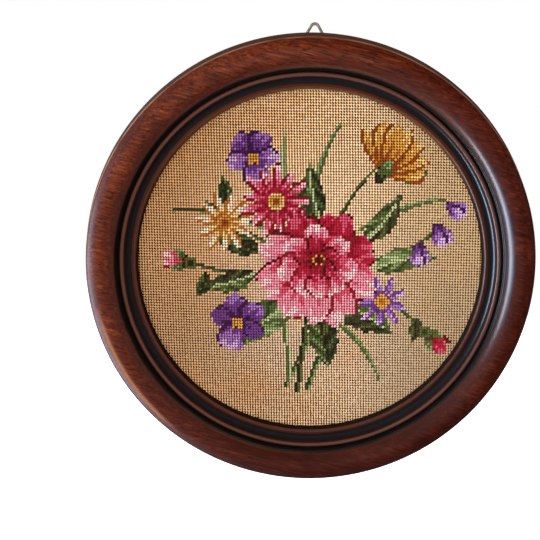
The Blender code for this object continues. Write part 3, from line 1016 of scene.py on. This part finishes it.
def stitch_mesh(name, x, z, wide, long, slant, material):
    """Joined mesh of the stitches with these centres."""
    form, faces = stitch_form()
    along, across, rise, up = (form[:, i][None, :] for i in range(4))
    half_length = (STITCH_HALF_LENGTH * PITCH * long)[:, None]
    half_width = (STITCH_HALF_WIDTH * PITCH * wide)[:, None]
    run, side = along * half_length, across * half_width
    # The stitch slants from the lower left up to the upper right
    cos, sin = np.cos(slant)[:, None], np.sin(slant)[:, None]
    px = x[:, None] + run * cos - side * sin
    pz = z[:, None] + run * sin + side * cos
    height = CANVAS_FRONT + cloth_lift(x, z)[:, None] + rise * STITCH_RISE + up * STITCH_DEPTH
    points = np.stack([px, BACK_Y - height, CENTRE_Z + pz], 2).reshape(-1, 3)
    count = len(x)
    all_faces = (faces[None] + (np.arange(count) * len(form))[:, None, None]).reshape(-1, 3)
    mesh = bpy.data.meshes.new(name)
    mesh.vertices.add(len(points))
    mesh.vertices.foreach_set("co", points.ravel())
    mesh.loops.add(all_faces.size)
    mesh.loops.foreach_set("vertex_index", all_faces.ravel())
    mesh.polygons.add(len(all_faces))
    mesh.polygons.foreach_set("loop_start", np.arange(0, all_faces.size, 3))
    mesh.update(calc_edges=True)
    mesh.validate()
    mesh.shade_smooth()
    mesh.materials.append(material)
    made = new_object(name, mesh)
    bake_map(made)
    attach(made, "root")
    return made


def sew():
    """All stitches, one piece for each thread colour; the ground is split into bands by height."""
    x, z, wide, long, slant, colour = stitch_places(paint_chart())
    pieces = []
    for index, name in enumerate(THREAD_NAMES):
        chosen = np.flatnonzero(colour == index)
        parts = GROUND_PARTS if name == "ground" else 1
        material = thread_material(name, THREADS[name])
        ordered = chosen[np.argsort(z[chosen], kind="stable")]
        for part, members in enumerate(np.array_split(ordered, parts)):
            label = f"stitches_{name}" + (f"_{part + 1}" if parts > 1 else "")
            values = [value[members] for value in (x, z, wide, long, slant)]
            pieces.append(stitch_mesh(label, *values, material))
    return pieces


# Hanger and back
def hanger():
    """Round-wire triangle in place of the plain one, and metal on the strap and screw."""
    low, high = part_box("hanging_loop")
    wire = (high.y - low.y) / 2
    width = high.x - low.x - 2 * wire
    side = width - 2 * LOOP_CORNER + 2 * LOOP_CORNER * math.sqrt(3)
    middle_z = low.z + wire + side * math.tan(math.radians(30)) / 2
    reach = side / math.sqrt(3) - 2 * LOOP_CORNER
    points = []
    for number in range(3):
        facing = math.radians(90 + 120 * number)
        hub = (reach * math.cos(facing), middle_z + reach * math.sin(facing))
        for step in range(LOOP_CORNER_STEPS + 1):
            angle = facing + math.radians(-60 + 120 * step / LOOP_CORNER_STEPS)
            points.append((hub[0] + LOOP_CORNER * math.cos(angle), hub[1] + LOOP_CORNER * math.sin(angle)))
    curve = bpy.data.curves.new("wire_triangle", "CURVE")
    curve.dimensions = "3D"
    spline = curve.splines.new("POLY")
    spline.points.add(len(points) - 1)
    for place, (x, z) in zip(spline.points, points):
        place.co = (x, 0, z, 1)
    spline.use_cyclic_u = True
    curve.bevel_depth = wire
    curve.bevel_resolution = 6
    curve.materials.append(metal_material("dull_brass_wire", (200, 190, 174), (156, 144, 128), 0.55))
    loop = new_object("wire_triangle", curve)
    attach(loop, "root")
    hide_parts("hanging_loop")
    dress("hanger_strap", metal_material("dull_brass_strap", (176, 146, 90), (110, 84, 50), 0.38))
    dress("hanger_screw", metal_material("screw_metal", (158, 150, 136), (96, 88, 76), 0.34))
    dress("backing_board", board_material())


def dress(node, material):
    """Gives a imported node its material."""
    mesh = nodes[node].data
    mesh.materials.clear()
    mesh.materials.append(material)


# Stage and light
def stage():
    """A pale floor that shines white."""
    shader = Shader(
        "pale_floor",
        Base_Color=(0.9, 0.9, 0.9, 1),
        Roughness=0.9,
        Emission_Color=(1, 1, 1, 1),
        Emission_Strength=1.0,
    )
    corners = [(-1, -1), (1, -1), (1, 1), (-1, 1)]
    points = [(x * FLOOR_HALF, y * FLOOR_HALF, CENTRE_Z - FLOOR_DROP) for x, y in corners]
    floor = mesh_object("floor", points, [(0, 1, 2, 3)], shader.material)
    floor.visible_glossy = False
    floor.visible_diffuse = False
    floor.visible_shadow = False


def area_light(name, direction, distance, size, power, colour, mirrored=True, lit=True):
    """Rectangular lamp that looks at the ring's centre from a direction.
    It is mirrored in glossy faces, lights the dull ones, or both."""
    data = bpy.data.lights.new(name, "AREA")
    data.shape = "RECTANGLE"
    data.size, data.size_y = size
    data.energy = power
    data.color = colour
    lamp = new_object(name, data)
    way = Vector(direction).normalized()
    lamp.location = CENTRE + way * distance
    lamp.rotation_euler = way.to_track_quat("Z", "Y").to_euler()
    lamp.visible_glossy = mirrored
    lamp.visible_diffuse = lit
    lamp.visible_camera = False


def light():
    """Studio lamps, and a world that is white to the camera alone."""
    area_light("window", (-0.95, -0.04, -0.37), 1.3, (0.9, 1.35), 60, (0.62, 0.79, 1.0))
    area_light("window_sheen", (-0.84, -0.44, -0.32), 1.4, (0.5, 0.8), 7, (0.45, 0.70, 1.0), lit=False)
    area_light("right_fill", (0.95, -0.28, 0.20), 1.4, (1.0, 1.0), 7, (1.0, 0.90, 0.80), mirrored=False)
    area_light("key", (-0.10, -0.97, 0.10), 1.6, (1.7, 1.7), 34, (1.0, 0.92, 0.80), mirrored=False)
    area_light("behind", (0.25, 0.92, 0.30), 1.6, (1.8, 1.8), 24, (1.0, 0.97, 0.92), mirrored=False)
    area_light("overhead", (-0.50, -0.14, 0.85), 1.5, (1.2, 1.2), 14, (1.0, 0.92, 0.84), mirrored=False)
    area_light("warm_low", (-0.66, -0.10, -0.75), 1.2, (0.3, 0.3), 1.2, (1.0, 0.72, 0.45))
    world = bpy.data.worlds.new("studio")
    world.use_nodes = True
    tree = world.node_tree
    seen, around = tree.nodes["Background"], tree.nodes.new("ShaderNodeBackground")
    for node, colour, strength in ((seen, (1, 1, 1, 1), 1.0), (around, (0.88, 0.93, 1, 1), 0.03)):
        node.inputs["Color"].default_value = colour
        node.inputs["Strength"].default_value = strength
    path = tree.nodes.new("ShaderNodeLightPath")
    mixed = tree.nodes.new("ShaderNodeMixShader")
    tree.links.new(path.outputs["Is Camera Ray"], mixed.inputs[0])
    tree.links.new(around.outputs[0], mixed.inputs[1])
    tree.links.new(seen.outputs[0], mixed.inputs[2])
    tree.links.new(mixed.outputs[0], tree.nodes["World Output"].inputs["Surface"])
    bpy.context.scene.world = world
    bpy.context.scene.view_settings.view_transform = "Standard"


place_camera()
turned_ring()
sheet = canvas_sheet()
stitches = sew()
hanger()
stage()
light()
